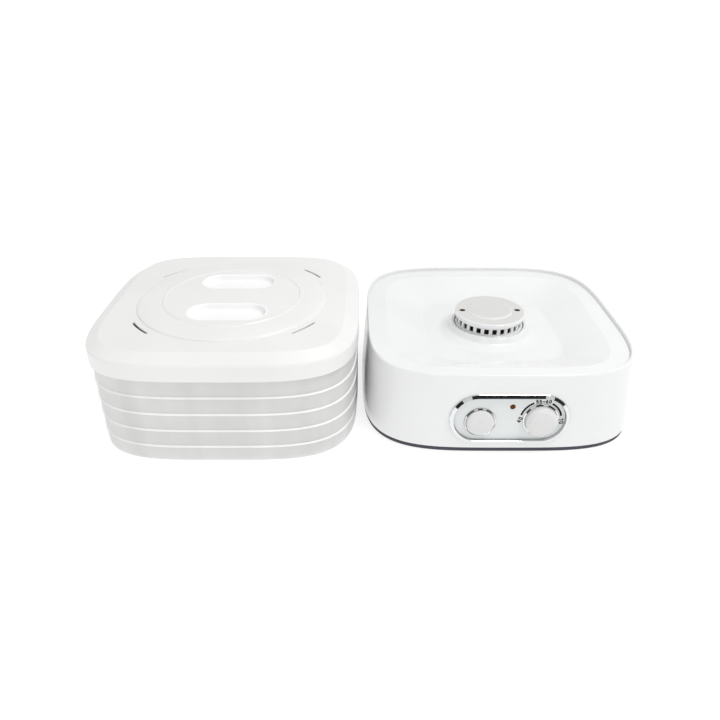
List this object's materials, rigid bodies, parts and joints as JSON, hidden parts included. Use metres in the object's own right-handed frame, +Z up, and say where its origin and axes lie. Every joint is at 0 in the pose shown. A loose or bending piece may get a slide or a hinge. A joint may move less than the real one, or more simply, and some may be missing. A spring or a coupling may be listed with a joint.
{
  "type": "food dehydrator",
  "caption": "Rounded-square food dehydrator: a heater base with a fan turret and front controls, and beside it its stack of nesting trays under a vented lid.",
  "frame": {"origin": "middle of the overall footprint, on the surface that the base and the stack stand on", "axes": "+X from the tray stack towards the base, +Y from the control panel towards the back, +Z up"},
  "size_m": [0.6728, 0.3652, 0.1412],
  "materials": {
    "shell": "glossy white ABS",
    "turret": "satin white ABS",
    "lid": "satin, slightly translucent white",
    "tray": "frosted translucent",
    "bottom": "dark violet-grey, fine grain",
    "rubber": "matt",
    "chrome": "bright plated plastic",
    "panel": "pale grey-green, glossy",
    "knob_white": "satin white",
    "amber": "clear amber",
    "steel": "plain",
    "black_plastic": "fine grain",
    "mica": "layered",
    "heater_wire": "dull",
    "lead": "silicone sleeve"
  },
  "bodies": {
    "base": {"outer_shell": "shell", "inner_dish": "shell", "bottom_plate": "bottom", "foot_front_left": "rubber", "foot_front_right": "rubber", "foot_back_left": "rubber", "foot_back_right": "rubber", "housing_screw_front_left": "steel", "housing_screw_front_right": "steel", "housing_screw_back_left": "steel", "housing_screw_back_right": "steel", "cord_gland": "rubber", "turret_cage": "shell", "turret_cap": "turret", "cap_screw_left": "steel", "cap_screw_right": "steel", "air_duct": "steel", "motor_body": "steel", "motor_bracket": "black_plastic", "heater_frame": "mica", "heater_ring_inner": "heater_wire", "heater_ring_outer": "heater_wire", "thermal_fuse": "steel", "control_bezel": "chrome", "control_panel": "panel", "button_ring": "chrome", "power_switch": "black_plastic", "knob_ring": "chrome", "thermostat": "black_plastic", "indicator_lens": "amber", "indicator_lamp": "black_plastic", "lead_gland_to_switch": "lead", "lead_thermostat_to_heater": "lead"},
    "fan_rotor": {"motor_shaft": "steel", "fan_impeller": "black_plastic"},
    "power_button": {"power_button": "knob_white"},
    "temperature_control": {"temperature_knob": "knob_white", "thermostat_shaft": "steel"},
    "tray_1": {"tray_1": "tray"},
    "tray_2": {"tray_2": "tray"},
    "tray_3": {"tray_3": "tray"},
    "tray_4": {"tray_4": "tray"},
    "tray_5": {"tray_5": "tray"},
    "lid": {"lid": "lid"}
  },
  "joints": [
    {"name": "fan_spin", "type": "hinge", "parent": "base", "child": "fan_rotor", "pos_m": [0.1644, 0.0076, 0.04], "axis": [0, 0, 1], "continuous": true},
    {"name": "temperature_turn", "type": "hinge", "parent": "base", "child": "temperature_control", "pos_m": [0.2011, -0.1617, 0.045], "axis": [0, -0.9976, 0.0687], "range_deg": [-180, 0]},
    {"name": "power_press", "type": "slide", "parent": "base", "child": "power_button", "axis": [0, 0.9976, -0.0687], "range_m": [0, 0.003], "stiffness_N_per_m": 500, "springref_m": -0.003},
    {"name": "stack_lift", "type": "slide", "parent": "base", "child": "tray_1", "axis": [0, 0, 1], "range_m": [0, 0.15]},
    {"name": "tray_2_lift", "type": "slide", "parent": "tray_1", "child": "tray_2", "axis": [0, 0, 1], "range_m": [0, 0.08]},
    {"name": "tray_3_lift", "type": "slide", "parent": "tray_2", "child": "tray_3", "axis": [0, 0, 1], "range_m": [0, 0.08]},
    {"name": "tray_4_lift", "type": "slide", "parent": "tray_3", "child": "tray_4", "axis": [0, 0, 1], "range_m": [0, 0.08]},
    {"name": "tray_5_lift", "type": "slide", "parent": "tray_4", "child": "tray_5", "axis": [0, 0, 1], "range_m": [0, 0.08]},
    {"name": "lid_lift", "type": "slide", "parent": "tray_5", "child": "lid", "axis": [0, 0, 1], "range_m": [0, 0.12]}
  ]
}
